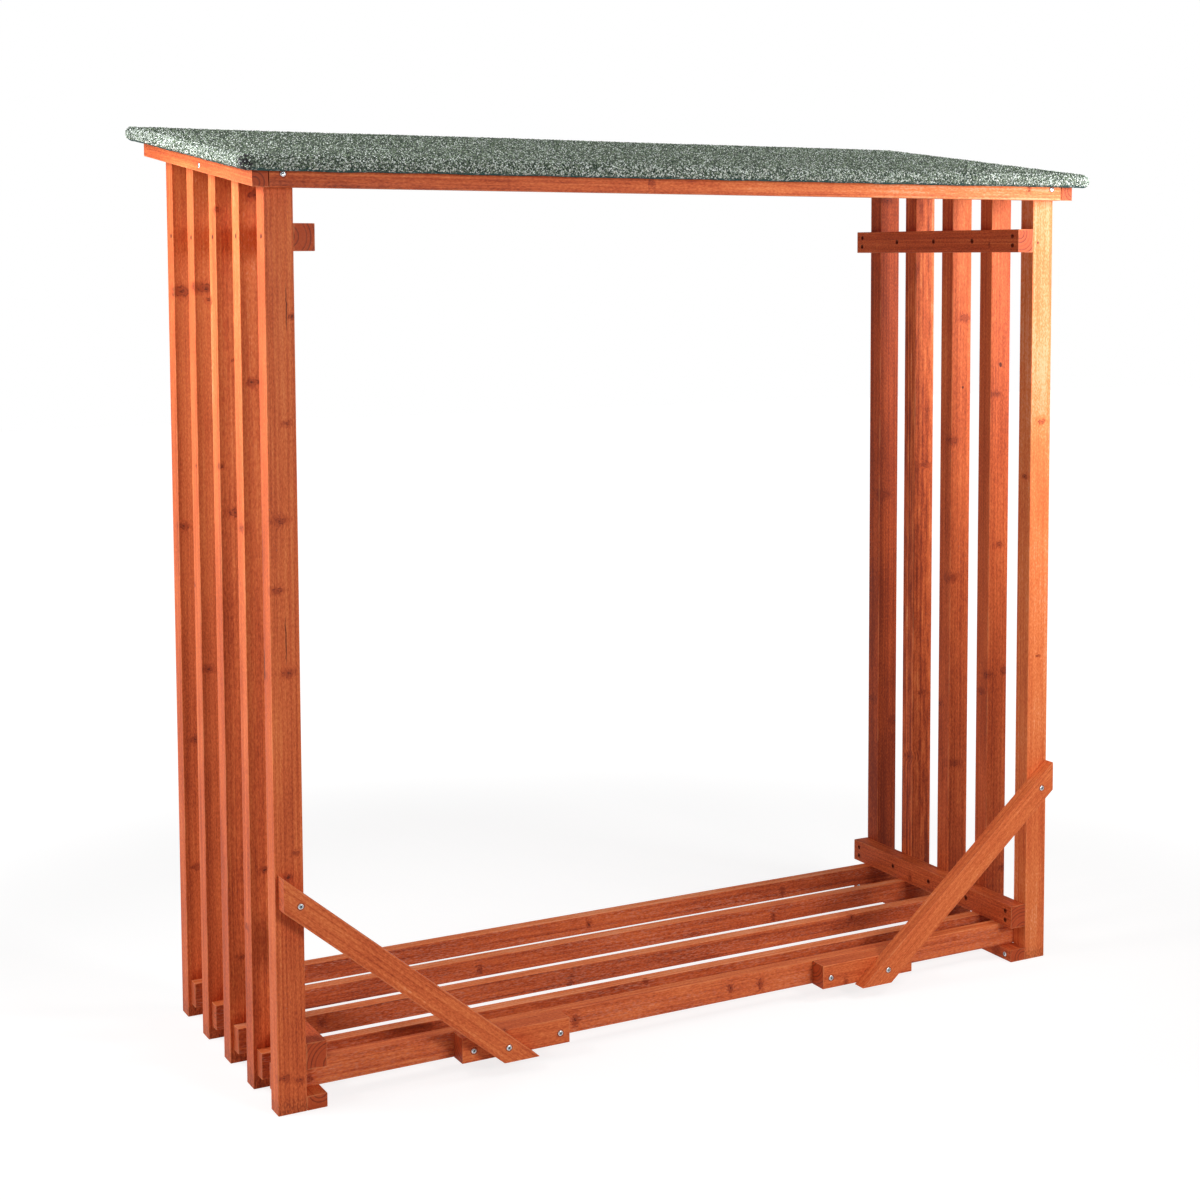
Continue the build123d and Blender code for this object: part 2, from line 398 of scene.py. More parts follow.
# Nail holes at the upper rail, and cracks and dents on the fronts: place and half size in millimetres.
nail_height = 1548
nail_size = (6.0, 5.2, 4.8)
upright_marks = {
    "left_slat_1": [((-818, -314, 1425), (1.0, 4, 44)), ((-828, -314, 847), (1.1, 4, 44)),
                    ((-855, -277, 800), (4, 2.2, 34)), ((-855, -298, nail_height - 2), nail_size)],
    "left_slat_2": [((-855, -155, nail_height), nail_size)],
    "left_slat_3": [((-855, -14, nail_height), nail_size)],
    "left_slat_4": [((-855, 125, nail_height), nail_size)],
    "left_slat_5": [((-855, 262, nail_height + 4), nail_size)],
    "right_slat_1": [((816, -314, 1541), (3.0, 4, 3.6)), ((855, -294, nail_height), nail_size)],
    "right_slat_2": [((855, -153, nail_height), nail_size), ((830, -174, 1278), (4.0, 4, 6.0))],
    "right_slat_3": [((855, -12, nail_height), nail_size), ((834, -33, 1221), (3.0, 4, 4.0))],
    "right_slat_4": [((855, 129, nail_height), nail_size)],
    "right_slat_5": [((855, 270, nail_height), nail_size)],
}
# How deep each upright's stain is (the front right one's paler depth is partly painted light), and how much
# paler each is painted toward its top: painted light that falls off downward.
upright_depth_and_light = {
    "left_slat_1": 0.0, "left_slat_2": 0.06, "left_slat_3": 0.11, "left_slat_4": 0.06, "left_slat_5": 0.06,
    "right_slat_1": -0.18, "right_slat_2": 0.13, "right_slat_3": 0.15, "right_slat_4": 0.17,
    "right_slat_5": 0.35}
upright_painted_light = {
    "left_slat_1": 0.0, "left_slat_2": 0.27, "left_slat_3": 0.26, "left_slat_4": 0.22, "left_slat_5": 0.14,
    "right_slat_1": 0.18, "right_slat_2": 0.16, "right_slat_3": 0.18, "right_slat_4": 0.12,
    "right_slat_5": 0.1}
plain_figure = 1.0
upright_figure = {"right_slat_4": 2.6}
unseen_seed = 11
unseen_heights = (250, 1450)
side_knot_sizes = (7, 12)
back_knot_sizes = (8, 13)
unseen_knots = random.Random(unseen_seed)
for upright, knots in upright_knots.items():
    low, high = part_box(upright)
    knots = list(knots)
    for face in (high.x, low.x) if upright.startswith("right") else (high.x,):
        height = unseen_knots.uniform(*unseen_heights)
        along = unseen_knots.uniform(low.y, high.y) / mm
        knots.append((face / mm, along, height, unseen_knots.uniform(*side_knot_sizes)))
    across = unseen_knots.uniform(low.x, high.x) / mm
    height = unseen_knots.uniform(*unseen_heights)
    knots.append((across, high.y / mm, height, unseen_knots.uniform(*back_knot_sizes)))
    stained_timber(upright, grain_up, knots, upright_depth_and_light[upright],
                   upright_figure.get(upright, plain_figure), upright_marks[upright],
                   upright_painted_light[upright])


# Rails: a foot rail, a lower rail and an upper rail along the inside of each
# wall, square-sawn from the same stained softwood, with deep pockets drilled
# for the heads of the screws that hold the uprights.
grain_back = (math.pi / 2, 0, 0)
# Places in millimetres: the rails' inner faces, their middles, and the screws along and across them.
rail_inner = 765
lower_rail_middle = 98
upper_rail_middle = 1545
end_screws = (-294, 270)
end_screw_rises = (-10, 10)
middle_screws = (-153, -12, 129)
torn_rim = (3, 5.6, 5.6)
for side, sign in (("left", -1), ("right", 1)):
    inner = sign * rail_inner
    stained_timber(side + "_foot_rail", grain_back, [(inner, -120, 15, 8)], depth=0.04)
    for rail, middle, knot in (("_lower_rail", lower_rail_middle, (inner, 60, 90, 9)),
                               ("_upper_rail", upper_rail_middle, (inner, -214, 1538, 5))):
        torn_rims = [((inner, y, middle + rise), torn_rim) for y in end_screws for rise in end_screw_rises]
        torn_rims += [((inner, y, middle), torn_rim) for y in middle_screws]
        stained_timber(side + rail, grain_back, [knot], depth=0.08, marks=torn_rims,
                       pale_ends=side + rail == "right_upper_rail")


# Floor slats: five timbers on edge between the walls, on which the logs lie.
# Their faces are left rough from the saw, and their ends rest on the foot
# rails, held between the uprights.
grain_sideways = (0, -math.pi / 2, 0)
# Knots on the fronts: across, height and size in millimetres. The backs get them shifted and upside down.
floor_knots = {
    "floor_slat_1": [(-783, 42, 10), (161, 48, 10), (92, 50, 9), (-254, 51, 11)],
    "floor_slat_2": [(-62, 70, 8), (420, 44, 9)],
    "floor_slat_3": [(-685, 55, 9), (523, 66, 9), (-160, 42, 8)],
    "floor_slat_4": [(409, 51, 8), (-300, 52, 8)],
    "floor_slat_5": [(22, 54, 8), (520, 48, 9), (-450, 50, 7)],
}
back_shift = -0.7
back_height = 104
floor_figure = 1.5
# Floor slat sides are darkened against their tops: partly rough sawing, partly painted shade.
front_slat_depth = -0.14
front_slat_sawn_shade = 0.1
other_slat_depth = -0.3
other_slat_sawn_shade = 0.42
for slat, knots in floor_knots.items():
    low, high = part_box(slat)
    front_knots = [(x, low.y / mm, z, size) for x, z, size in knots]
    back_knots = [(back_shift * x, high.y / mm, back_height - z, size) for x, z, size in knots]
    in_front = slat == "floor_slat_1"
    stained_timber(slat, grain_sideways, front_knots + back_knots,
                   depth=front_slat_depth if in_front else other_slat_depth, figure=floor_figure,
                   sawn_and_shaded=front_slat_sawn_shade if in_front else other_slat_sawn_shade)


# Brace blocks: two short offcuts screwed to the front floor slat, level with
# the uprights, that give the braces' lower ends something to bear on.
stained_timber("left_brace_block", grain_sideways, [(-420, -314, 74, 7)])
stained_timber("right_brace_block", grain_sideways, [(340, -314, 33, 9)], depth=-0.04)


# Knee braces: one a side, cut plumb at the upright and level at the foot,
# planed with crisp arrises drawn pale as wear and painted highlight, and screwed at both ends.
brace_run = 415 * mm
brace_rise = 349 * mm
brace_lean = math.atan2(brace_run, brace_rise)
stained_timber("left_brace", (0, brace_lean, 0), [(-760, -346, 372, 7)], depth=-0.03)
stained_timber("right_brace", (0, -brace_lean, 0), [(800, -330, 425, 7)], depth=-0.1)


# Roof frame: two sloping rafters on the outside of the walls and two beams
# across the front and rear uprights, all of one light batten.
roof_fall = math.radians(6.6)
grain_down_roof = (math.pi / 2 - roof_fall, 0, 0)
stained_timber("left_rafter", grain_down_roof, [(-869, 200, 1680, 8)], depth=0.02)
stained_timber("right_rafter", grain_down_roof, [(883, 40, 1690, 8)], depth=-0.08, pale_ends=True)
# The front beam is painted paler toward its right end: painted light from the lamp on that side.
stained_timber("front_beam", grain_sideways, [(769, -342, 1652, 6), (-120, -342, 1648, 8)],
               depth=0.08, figure=1.6, painted_light_along=0.42)
stained_timber("rear_beam", grain_sideways, [(240, 318, 1722, 8), (-430, 318, 1715, 7)], depth=0.02)


# Roof board: a panel of softwood staves glued edge to edge, stained below,
# with its rims rounded so that the felt can be folded round them.
stained_timber("roof_board", grain_sideways,
               [(-300, 40, 1702, 12), (350, -120, 1683, 10), (120, 210, 1722, 11)])


# Roof felt: mineral felt bonded to the board, laid over its top, turned down
# round its rims and under its edge. Grey-green granules on black bitumen,
# which shows where the sheet is creased at the corners.
felt_thickness = 3.5 * mm
rim_radius = 12.5 * mm
sheet_thick = 27 * mm
felt_half_width = 911 * mm
felt_half_length = 375 * mm
turn_under = 9 * mm
quarter = rim_radius * math.pi / 2
rim_drop = sheet_thick - 2 * rim_radius
rim_length = quarter + rim_drop + quarter + turn_under
rim_steps = 20
flat_columns = 196
flat_rows = 82
# Unevenness of the sheet: its height, how many swells a metre, and the layer of noise that it is read from.
sheet_swell = (0.9 * mm, 3.5, 2.0)
sheet_ripple = (0.5 * mm, 26, 5.0)
rim_wave = (1.3 * mm, 14, 9.0)
flap_start = 5 * mm
flap_slant = 2.1
flap_rise = 1.8 * mm
flap_slope = 2.5 * mm
weld_gap = 0.05 * mm
felt_smooth_angle = math.radians(50)


def rim_profile(run):
    """How far out and down the sheet has gone after a run from the start of the rounded rim."""
    if run < quarter:
        angle = run / rim_radius
        return rim_radius * math.sin(angle), rim_radius * (1 - math.cos(angle))
    if run < quarter + rim_drop:
        return rim_radius, rim_radius + run - quarter
    if run < 2 * quarter + rim_drop:
        angle = (run - quarter - rim_drop) / rim_radius
        return rim_radius * math.cos(angle), rim_radius + rim_drop + rim_radius * math.sin(angle)
    return -(run - 2 * quarter - rim_drop), sheet_thick


def cut_lines(flat_half, flat_count):
    """Places of the sheet's grid lines when it lies flat: close together at the rims."""
    rim = [flat_half + rim_length * step / rim_steps for step in range(1, rim_steps + 1)]
    middle = [flat_half * (2 * step / flat_count - 1) for step in range(flat_count + 1)]
    return [-place for place in reversed(rim)] + middle + rim


def unevenness(across, along, height, per_metre, layer):
    """How far the sheet stands off its place, by smooth noise."""
    return height * noise.noise(Vector((across * per_metre, along * per_metre, layer)))


def within(value, limit):
    """The value, held between minus the limit and the limit."""
    return max(-limit, min(limit, value))


flat_half_width = felt_half_width - rim_radius
flat_half_length = felt_half_length - rim_radius
column_lines = cut_lines(flat_half_width, flat_columns)
row_lines = cut_lines(flat_half_length, flat_rows)
last_column = len(column_lines) - 1
last_row = len(row_lines) - 1
bpy.ops.object.select_all(action="DESELECT")
bpy.ops.mesh.primitive_grid_add(x_subdivisions=last_column, y_subdivisions=last_row, size=2)
felt = bpy.context.object
felt.name = "felt_covering"
for corner in felt.data.vertices:
    across = column_lines[round((corner.co.x + 1) / 2 * last_column)]
    along = row_lines[round((corner.co.y + 1) / 2 * last_row)]
    over_side = max(0.0, abs(across) - flat_half_width)
    over_end = max(0.0, abs(along) - flat_half_length)
    run = max(over_side, over_end)
    out, down = rim_profile(run)
    turn = 0.0
    if over_end >= over_side > 0:
        turn = math.pi / 2 - math.pi / 4 * over_side / over_end
    elif over_side > over_end:
        turn = math.pi / 4 * over_end / over_side
    elif over_end > 0:
        turn = math.pi / 2
    lift = unevenness(across, along, *sheet_swell)
    lift += unevenness(across, along, *sheet_ripple)
    corner_gap = felt_half_length - abs(along)
    if over_side > 0 and along > 0:
        flap_reach = flap_start + flap_slant * over_side
        lift += flap_rise * min(1.0, max(0.0, (flap_reach - corner_gap) / flap_slope))
    way = Vector((math.cos(turn) * math.copysign(1, across), math.sin(turn) * math.copysign(1, along), 0))
    tucked = max(0.0, -out)
    base = Vector((within(across, flat_half_width - tucked), within(along, flat_half_length - tucked), 0))
    outward = way * min(1.0, max(0.0, out) / rim_radius)
    upward = 1 - min(1.0, down / rim_radius)
    wave = unevenness(across, along, *rim_wave) * max(0.0, down / rim_radius - 1)
    base += way * max(0.0, out) + Vector((0, 0, sheet_thick / 2 - down + wave))
    corner.co = base + (outward + Vector((0, 0, upward))) * lift

bpy.ops.object.mode_set(mode="EDIT")
bpy.ops.mesh.select_all(action="SELECT")
bpy.ops.mesh.remove_doubles(threshold=weld_gap)
bpy.ops.object.mode_set(mode="OBJECT")
roof_low, roof_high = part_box("roof_felt")
roof_middle = (roof_low + roof_high) / 2
felt.data.transform(Matrix.Translation(roof_middle) @ Matrix.Rotation(roof_fall, 4, "X"))
outer_faces = len(felt.data.polygons)
thickness = felt.modifiers.new("thickness", "SOLIDIFY")
thickness.thickness = felt_thickness
thickness.offset = -1.0
bpy.ops.object.modifier_apply(modifier="thickness")
bpy.ops.object.shade_smooth_by_angle(angle=felt_smooth_angle)

granule_dark = shade_of(36, 50, 42)
granule_mid = shade_of(90, 100, 88)
granule_pale = shade_of(146, 154, 140)
granule_white = shade_of(232, 235, 228)
mineral_stops = [(0.0, granule_dark), (0.5, granule_mid), (0.86, granule_pale), (0.96, granule_white)]
bitumen = shade_of(48, 46, 49)
lip_edge_and_shadow = shade_of(40, 74, 72)
granules_per_metre = 300.0
grit_per_metre = 640.0
grit_share = 0.28
rim_glints = (12 * mm, 6 * mm, 0.0, 0.1)
weather_clouds = ((7, 7, 7), 3)
weather_fade = (0.35, 0.7, 0.0, 0.3)
lip_shadow_ragged = 6 * mm
lip_shadow_fade = (-3 * mm, -9 * mm, 0.0, 0.9)
felt_roughness = 0.88
felt_gloss = 0.2
granule_relief = 0.8
granule_height = 1.5 * mm
finish, tree, surface = new_finish("mineral_felt")
texture = add_step(tree, "TexCoord").outputs
levelled = Euler((-roof_fall, 0, 0)).to_matrix() @ roof_middle
feeds = {"Vector": texture["Object"], "Location": -levelled, "Rotation": (-roof_fall, 0, 0)}
points = add_step(tree, "Mapping", feeds).outputs["Vector"]
granules = add_step(tree, "TexVoronoi", {"Vector": points, "Scale": granules_per_metre})
grit = add_step(tree, "TexVoronoi", {"Vector": points, "Scale": grit_per_metre})
place = add_step(tree, "SeparateXYZ", {"Vector": points}).outputs
rim_glint = fade(tree, place["Z"], *rim_glints)
coarse_luck = add_step(tree, "SeparateColor", {"Color": granules.outputs["Color"]}).outputs["Red"]
fine_luck = add_step(tree, "SeparateColor", {"Color": grit.outputs["Color"]}).outputs["Red"]
colour = colour_run(tree, reckon(tree, "ADD", coarse_luck, rim_glint), mineral_stops, hard=True)
fine = colour_run(tree, reckon(tree, "ADD", fine_luck, rim_glint), mineral_stops, hard=True)
colour = blend(tree, grit_share, colour, fine)
weather = clouds(tree, points, *weather_clouds)
colour = blend(tree, fade(tree, weather, *weather_fade), colour, granule_mid)
# The lower rim and turn-under are darkened to teal: partly the felt's cut edge, partly painted shade under
# the rim.
lip_shadow_height = reckon(tree, "MULTIPLY_ADD", coarse_luck, lip_shadow_ragged, place["Z"])
colour = blend(tree, fade(tree, lip_shadow_height, *lip_shadow_fade), colour, lip_edge_and_shadow)

# The bare bitumen at the worn corners, and the black edge of each flap folded round a side: partly bitumen,
# partly painted shadow under the flap's edge.
patches = [((-903 * mm, -368 * mm, 1 * mm), (17 * mm, 17 * mm, 16 * mm)),
           ((905 * mm, 368 * mm, 6 * mm), (9 * mm, 10 * mm, 7 * mm)),
           ((908 * mm, -368 * mm, -6 * mm), (6 * mm, 8 * mm, 8 * mm))]
scuff_noise = (130.0, 3.0)
scuff_share = 1.6
luck_share = 0.5
bare_edge = (2.05, 1.8)
flap_run = 1.5
flap_ragged = 5 * mm
side_width = 4 * mm
seam_and_shadow_place = 3 * mm
seam_and_shadow_edge = (2.2 * mm, 1.0 * mm)
scuffed = even_noise(tree, points, *scuff_noise)["Fac"]
bare = reckon(tree, "MULTIPLY_ADD", scuffed, scuff_share, nearest_spot(tree, points, patches))
bare = reckon(tree, "MULTIPLY_ADD", coarse_luck, luck_share, bare)
colour = blend(tree, fade(tree, bare, *bare_edge), colour, bitumen)
run_down = reckon(tree, "MULTIPLY_ADD", place["Z"], -flap_run, flap_run * sheet_thick / 2)
flap_edge = reckon(tree, "MULTIPLY_ADD", run_down, flap_slant, flap_start)
past_edge = reckon(tree, "SUBTRACT", reckon(tree, "SUBTRACT", felt_half_length, place["Y"]), flap_edge)
ragged_edge = reckon(tree, "MULTIPLY_ADD", scuffed, flap_ragged, past_edge)
on_side = fade(tree, reckon(tree, "ABSOLUTE", place["X"]), flat_half_width, flat_half_width + side_width)
# The dark line along each flap edge: partly bitumen, partly painted shadow under the flap.
from_seam_and_shadow = reckon(tree, "ABSOLUTE", reckon(tree, "SUBTRACT", ragged_edge, seam_and_shadow_place))
seam_and_shadow = fade(tree, from_seam_and_shadow, *seam_and_shadow_edge)
colour = blend(tree, reckon(tree, "MULTIPLY", seam_and_shadow, on_side), colour, bitumen)
tree.links.new(colour, surface.inputs["Base Color"])
surface.inputs["Roughness"].default_value = felt_roughness
surface.inputs["Specular IOR Level"].default_value = felt_gloss
dome = reckon(tree, "MULTIPLY_ADD", granules.outputs["Distance"], -1.0, 1.0)
feeds = {"Height": dome, "Strength": granule_relief, "Distance": granule_height}
tree.links.new(add_step(tree, "Bump", feeds).outputs["Normal"], surface.inputs["Normal"])
felt.data.materials.append(finish)
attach(felt, "root")
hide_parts("roof_felt")
timbers["roof_felt"].data.materials.clear()
timbers["roof_felt"].data.materials.append(finish)


# Felt granules: crushed slate pressed into the bitumen while it was hot, dark,
# grey-green and white. They stand proud of the sheet, so that the roof looks
# speckled from any side, and are rubbed off at the bare corners.
granule_half = 1.5 * mm
granule_rise = 1.7 * mm
granule_sink = 0.3 * mm
half_spread = (0.65, 1.35)
rise_spread = (0.6, 1.25)
rubbed_off = (0.1, 1.3)
top_count = 32000
rim_count = 24000
# Rim granules get a wider spread of tones lifted toward white: painted glints of light on the rim.
top_glint_contrast = 1.15
rim_glint_contrast = 1.7
painted_glint_lift = 0.2
top_facing = 0.96
least_facing = -0.6
steep_facing = 0.8
middle_luck = 0.5
shard_middle = 0.5
shard_lean = (0.28, 0.16, 0)
bpy.ops.object.select_all(action="DESELECT")
bpy.ops.mesh.primitive_cone_add(vertices=4, radius1=1, radius2=0, depth=1, location=(0, 0, shard_middle))
shard = bpy.context.object
bpy.ops.object.transform_apply()
bpy.ops.object.mode_set(mode="EDIT")
bpy.ops.mesh.select_mode(type="VERT")
edited = bmesh.from_edit_mesh(shard.data)
for corner in edited.verts:
    corner.select = corner.co.z > shard_middle or corner.co.x > shard_middle
edited.select_flush_mode()
bmesh.update_edit_mesh(shard.data)
bpy.ops.transform.translate(value=shard_lean)
bpy.ops.object.mode_set(mode="OBJECT")
shard_points = np.array([corner.co for corner in shard.data.vertices])
shard_faces = [list(face.vertices) for face in shard.data.polygons]
bpy.data.objects.remove(shard)

felt.data.calc_loop_triangles()
felt_triangles = felt.data.loop_triangles
felt_corners = np.array([corner.co for corner in felt.data.vertices])
triangle_corners = felt_corners[np.array([triangle.vertices for triangle in felt_triangles])]
triangle_ways = np.array([triangle.normal for triangle in felt_triangles])
triangle_areas = np.array([triangle.area for triangle in felt_triangles])
outermost = np.array([triangle.polygon_index < outer_faces for triangle in felt_triangles])

slate_dark = shade_of(40, 56, 47)
slate_green = shade_of(126, 142, 117)
slate_pale = shade_of(182, 196, 182)
slate_white = shade_of(236, 243, 239)
slate_stops = [(0.0, slate_dark), (0.34, slate_green), (0.74, slate_pale), (0.91, slate_white)]
dust_clouds = ((60, 60, 60), 2)
dust_fade = (0.35, 0.7, 0.0, 0.25)
slate_rough_spread = 0.2
slate_rough_least = 0.7
slate_finish, tree, surface = new_finish("crushed_slate")
texture = add_step(tree, "TexCoord").outputs
luck = add_step(tree, "Attribute", attribute_name="luck").outputs["Fac"]
colour = colour_run(tree, luck, slate_stops, hard=True)
dust = clouds(tree, texture["Object"], *dust_clouds)
colour = blend(tree, fade(tree, dust, *dust_fade), colour, slate_green)
tree.links.new(colour, surface.inputs["Base Color"])
rough = reckon(tree, "MULTIPLY_ADD", dust, slate_rough_spread, slate_rough_least)
tree.links.new(rough, surface.inputs["Roughness"])
surface.inputs["Specular IOR Level"].default_value = felt_gloss
# The front corner on the right, where the granules are nearly all pale.
pale_corner = (911 * mm, -372 * mm, 0)
pale_reach = 20 * mm
pale_least = 0.8


def scatter_granules(name, wanted, count, glint_contrast):
    """Copies of the one granule over the wanted triangles of the sheet, turned and sized by chance,
    as one mesh."""
    chance = np.random.default_rng(count)
    share = triangle_areas * wanted
    chosen = chance.choice(len(share), count, p=share / share.sum())
    along, across = chance.random((2, count, 1))
    folded = along + across > 1
    along = np.where(folded, 1 - along, along)
    across = np.where(folded, 1 - across, across)
    start, first, second = (triangle_corners[chosen, corner] for corner in range(3))
    places = start + along * (first - start) + across * (second - start)
    level = np.array(Matrix.Rotation(-roof_fall, 3, "X"))
    laid = (places - np.array(roof_middle)) @ level.T
    kept = np.ones(count, bool)
    for middle, reach in patches:
        span = np.linalg.norm((laid - np.array(middle)) / np.array(reach), axis=1)
        kept &= span > chance.uniform(*rubbed_off, count)
    places = places[kept]
    ways = triangle_ways[chosen][kept]
    left = len(places)
    steep = np.abs(ways[:, :1]) > steep_facing
    upright = np.where(steep, np.array([[0.0, 1, 0]]), np.array([[1.0, 0, 0]]))
    side = np.cross(ways, upright)
    side /= np.linalg.norm(side, axis=1, keepdims=True)
    turn = chance.uniform(0, math.tau, (left, 1))
    grain = np.cos(turn) * side + np.sin(turn) * np.cross(ways, side)
    breadth = np.cross(ways, grain)
    long_half, short_half = granule_half * chance.uniform(*half_spread, (2, left, 1, 1))
    rise = granule_rise * chance.uniform(*rise_spread, (left, 1, 1))
    shape = shard_points[None]
    points = places[:, None] + grain[:, None] * long_half * shape[:, :, :1]
    points = points + breadth[:, None] * short_half * shape[:, :, 1:2]
    points = points + ways[:, None] * (rise * shape[:, :, 2:] - granule_sink)
    step = len(shard_points)
    faces = [[corner + step * number for corner in face] for number in range(left) for face in shard_faces]
    mesh = bpy.data.meshes.new(name)
    mesh.from_pydata(points.reshape(-1, 3).tolist(), [], faces)
    spread = middle_luck + glint_contrast * (chance.random(left) - middle_luck) + painted_glint_lift * (glint_contrast - 1)
    spread = np.clip(spread, 0, 1)
    whitened = np.linalg.norm((laid[kept] - np.array(pale_corner)) / pale_reach, axis=1) < 1
    spread = np.where(whitened, np.maximum(spread, pale_least), spread)
    luck_values = mesh.attributes.new("luck", "FLOAT", "FACE").data
    luck_values.foreach_set("value", np.repeat(spread, len(shard_faces)))
    mesh.materials.append(slate_finish)
    piece = bpy.data.objects.new(name, mesh)
    bpy.context.scene.collection.objects.link(piece)
    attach(piece, "root")


roof_up = np.array(Matrix.Rotation(roof_fall, 3, "X"))[:, 2]
facing_up = triangle_ways @ roof_up
on_top = outermost & (facing_up > top_facing)
on_rim = outermost & (facing_up <= top_facing) & (facing_up > least_facing)
scatter_granules("top_granules", on_top, top_count, top_glint_contrast)
scatter_granules("rim_granules", on_rim, rim_count, rim_glint_contrast)


# Screws: zinc-plated wood screws with a shallow domed head and a cross recess; the recess and a dished ring
# round each head are painted dark as painted shade.
# One holds each end of a brace, a block and a beam, and others sit deep in the
# pockets of the rails and on the foot rails.
head_sides = 28
head_radius = 5.0 * mm
head_rise = 1.6 * mm
head_top = 0.5 * mm
dome_steps = ((0.94, 0.35 * mm), (0.86, 0.35 * mm), (0.72, 0.25 * mm))
recess_length = 6.0 * mm
recess_width = 1.9 * mm
recess_depth = 2.6 * mm
recess_middle = 1.5 * mm
recess_slack = 0.01 * mm
recess_top = 1.35 * mm
recess_floor = 0.05 * mm
bruise_radius = 6.9 * mm
bruise_thick = 0.8 * mm
bruise_height = -0.15 * mm
bruise_rim = 1.1 * mm
bruise_dip = -0.3 * mm
head_smooth_angle = math.radians(35)
looks_up = 0.9


def pick_top_faces(piece):
    """In edit mode, select the faces that look up, and no others."""
    bpy.ops.mesh.select_mode(type="FACE")
    edited = bmesh.from_edit_mesh(piece.data)
    for face in edited.faces:
        face.select = face.normal.z > looks_up
    bmesh.update_edit_mesh(piece.data)


bpy.ops.object.select_all(action="DESELECT")
bpy.ops.mesh.primitive_cylinder_add(vertices=head_sides, radius=head_radius, depth=head_rise,
                                    location=(0, 0, -head_rise / 2 + head_top))
screw = bpy.context.object
bpy.ops.object.transform_apply()
bpy.ops.object.mode_set(mode="EDIT")
pick_top_faces(screw)
for narrowing, rise in dome_steps:
    bpy.ops.mesh.extrude_region_move(TRANSFORM_OT_translate={"value": (0, 0, rise)})
    bpy.ops.transform.resize(value=(narrowing, narrowing, 1))
bpy.ops.object.mode_set(mode="OBJECT")
for turn in (0, math.pi / 2):
    bpy.ops.mesh.primitive_cube_add(size=1, location=(0, 0, recess_middle))
    cutter = bpy.context.object
    cutter.scale = (recess_length, recess_width, recess_depth)
    cutter.rotation_euler = (0, 0, turn)
    bpy.ops.object.transform_apply()
    cut = screw.modifiers.new("recess", "BOOLEAN")
    cut.operation = "DIFFERENCE"
    cut.solver = "EXACT"
    cut.object = cutter
    bpy.context.view_layer.objects.active = screw
    bpy.ops.object.modifier_apply(modifier="recess")
    bpy.data.objects.remove(cutter)
bpy.ops.object.select_all(action="DESELECT")
bpy.ops.mesh.primitive_cylinder_add(vertices=head_sides, radius=bruise_radius, depth=bruise_thick,
                                    location=(0, 0, bruise_height))
head_dent_shadow = bpy.context.object
bpy.ops.object.transform_apply()
bpy.ops.object.mode_set(mode="EDIT")
pick_top_faces(head_dent_shadow)
bpy.ops.mesh.inset(thickness=bruise_rim, depth=bruise_dip)
bpy.ops.object.mode_set(mode="OBJECT")


def mottled_finish(name, mottling, first, second, rough_spread, rough_least):
    """A finish of two colours in fine clouds, which make it rougher too."""
    finish, tree, surface = new_finish(name)
    mottle = clouds(tree, add_step(tree, "TexCoord").outputs["Object"], *mottling)
    tree.links.new(blend(tree, mottle, first, second), surface.inputs["Base Color"])
    rough = reckon(tree, "MULTIPLY_ADD", mottle, rough_spread, rough_least)
    tree.links.new(rough, surface.inputs["Roughness"])
    return finish, surface


zinc_bright = shade_of(238, 245, 248)
zinc_dull = shade_of(186, 196, 204)
recess_shadow_dark = shade_of(20, 22, 30)
recess_shadow_light = shade_of(58, 60, 70)
zinc_spangles = ((900, 900, 900), 2)
recess_shadow_clouds = ((700, 700, 700), 2)
dent_shadow_clouds = ((500, 500, 500), 3)
finish, surface = mottled_finish("zinc_plate", zinc_spangles, zinc_bright, zinc_dull,
                                 rough_spread=0.25, rough_least=0.2)
surface.inputs["Metallic"].default_value = 1.0
screw.data.materials.append(finish)
# The faces in the cross recess are painted near black: painted shade in the recess.
finish, surface = mottled_finish("recess_shadow", recess_shadow_clouds, recess_shadow_dark, recess_shadow_light,
                                 rough_spread=0.3, rough_least=0.45)
screw.data.materials.append(finish)
for face in screw.data.polygons:
    middle = face.center
    in_cross = max(abs(middle.x), abs(middle.y)) < recess_length / 2 + recess_slack
    face.material_index = 1 if in_cross and recess_floor < middle.z < recess_top else 0
# The dished dent round each head is coloured dark: a painted shadow round the head.
finish, surface = mottled_finish("dented_wood_shadow", dent_shadow_clouds, knot_dark, dark_stain,
                                 rough_spread=0.3, rough_least=0.55)
head_dent_shadow.data.materials.append(finish)
bpy.ops.object.select_all(action="DESELECT")
head_dent_shadow.select_set(True)
screw.select_set(True)
bpy.context.view_layer.objects.active = screw
bpy.ops.object.join()

